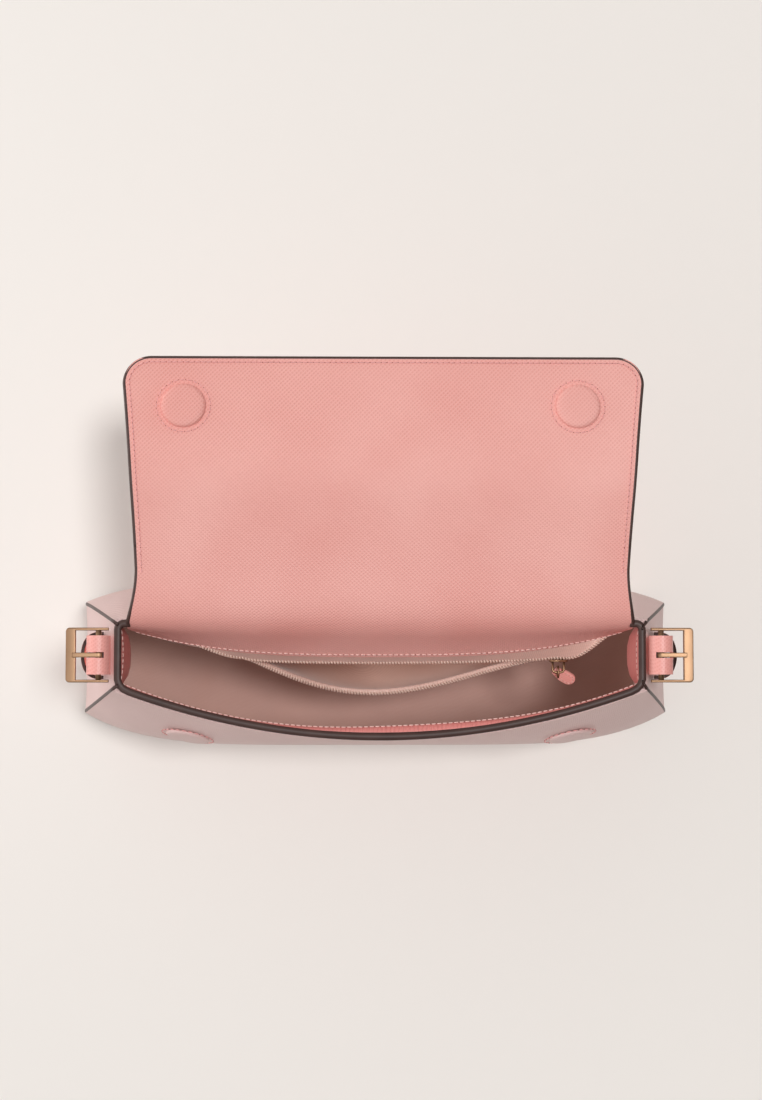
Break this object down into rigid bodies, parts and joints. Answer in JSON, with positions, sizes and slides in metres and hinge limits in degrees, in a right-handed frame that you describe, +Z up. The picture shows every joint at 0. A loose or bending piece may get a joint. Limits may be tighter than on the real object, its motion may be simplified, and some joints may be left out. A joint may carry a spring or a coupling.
{
  "type": "crossbody purse",
  "caption": "Small structured leather flap purse with flared gussets, a magnetic fold-back flap, a strap buckle at each end and an open zip pocket inside.",
  "frame": {"origin": "middle of the base, on the surface that the purse stands on", "axes": "+X along the purse to the wearer's right seen from the front, +Y to the back where the flap hinges, +Z up"},
  "size_m": [0.2676, 0.1616, 0.144],
  "materials": {
    "outer_leather": "fine crosshatch grain, satin",
    "inner_leather": "fine crosshatch grain, satin",
    "lining": "satin weave",
    "zip_tape": "woven tape",
    "zip_coil": "satin nylon",
    "gold_metal": "polished light gold plate",
    "magnet": "plated",
    "board": "fibre board"
  },
  "bodies": {
    "bag": {"front_panel": "outer_leather", "back_panel": "outer_leather", "gusset_left": "outer_leather", "gusset_right": "outer_leather", "base_panel": "outer_leather", "base_board": "board", "front_facing": "inner_leather", "back_facing": "inner_leather", "gusset_facing_left": "inner_leather", "gusset_facing_right": "inner_leather", "lining_front": "lining", "lining_back": "lining", "lining_left": "lining", "lining_right": "lining", "lining_base": "lining", "zip_tape_back": "zip_tape", "zip_tape_front": "zip_tape", "zip_coil_back": "zip_coil", "zip_coil_front": "zip_coil", "pocket_bag": "lining", "front_magnet_left_cover": "outer_leather", "front_magnet_left": "magnet", "front_magnet_right_cover": "outer_leather", "front_magnet_right": "magnet", "flap_hinge_fold": "inner_leather", "strap_tab_left": "inner_leather", "strap_keeper_left": "inner_leather", "strap_tab_right": "inner_leather", "strap_keeper_right": "inner_leather"},
    "flap_top": {"flap_top_outer": "outer_leather", "flap_top_lining": "inner_leather", "flap_front_fold": "inner_leather"},
    "flap_drop": {"flap_drop_outer": "outer_leather", "flap_drop_lining": "inner_leather", "flap_magnet_left_cover": "inner_leather", "flap_magnet_left": "magnet", "flap_magnet_right_cover": "inner_leather", "flap_magnet_right": "magnet"},
    "buckle_left": {"buckle_frame_left": "gold_metal", "buckle_bar_left": "gold_metal"},
    "buckle_right": {"buckle_frame_right": "gold_metal", "buckle_bar_right": "gold_metal"},
    "prong_left": {"buckle_prong_left": "gold_metal"},
    "prong_right": {"buckle_prong_right": "gold_metal"},
    "slider": {"zip_slider": "gold_metal", "zip_slider_bail": "gold_metal"},
    "pull": {"zip_pull_link": "gold_metal", "zip_pull_tab": "inner_leather"}
  },
  "joints": [
    {"name": "flap_hinge", "type": "hinge", "parent": "bag", "child": "flap_top", "pos_m": [0, 0.0145, 0.13368], "axis": [1, 0, 0], "range_deg": [-40, 171]},
    {"name": "flap_fold", "type": "hinge", "parent": "flap_top", "child": "flap_drop", "pos_m": [0, 0.07179, 0.14275], "axis": [1, 0, 0], "range_deg": [-26, 108]},
    {"name": "buckle_left_swing", "type": "hinge", "parent": "bag", "child": "buckle_left", "pos_m": [-0.11615, 0, 0.1286], "axis": [0, 1, 0], "range_deg": [-60, 35]},
    {"name": "buckle_right_swing", "type": "hinge", "parent": "bag", "child": "buckle_right", "pos_m": [0.11615, 0, 0.1286], "axis": [0, -1, 0], "range_deg": [-60, 35]},
    {"name": "prong_left_lift", "type": "hinge", "parent": "buckle_left", "child": "prong_left", "pos_m": [-0.11615, 0, 0.1286], "axis": [0, 1, 0], "range_deg": [0, 60]},
    {"name": "prong_right_lift", "type": "hinge", "parent": "buckle_right", "child": "prong_right", "pos_m": [0.11615, 0, 0.1286], "axis": [0, -1, 0], "range_deg": [0, 60]},
    {"name": "zip_slide", "type": "slide", "parent": "bag", "child": "slider", "axis": [-1, 0, 0], "range_m": [0, 0.129]},
    {"name": "zip_pull_swing", "type": "hinge", "parent": "slider", "child": "pull", "pos_m": [0.0765, -0.00692, 0.1006], "axis": [-1, 0, 0], "range_deg": [0, 80]}
  ],
  "couplings": [
    {"joint": "flap_fold", "follows": "flap_hinge", "ratio": 0.6257}
  ]
}
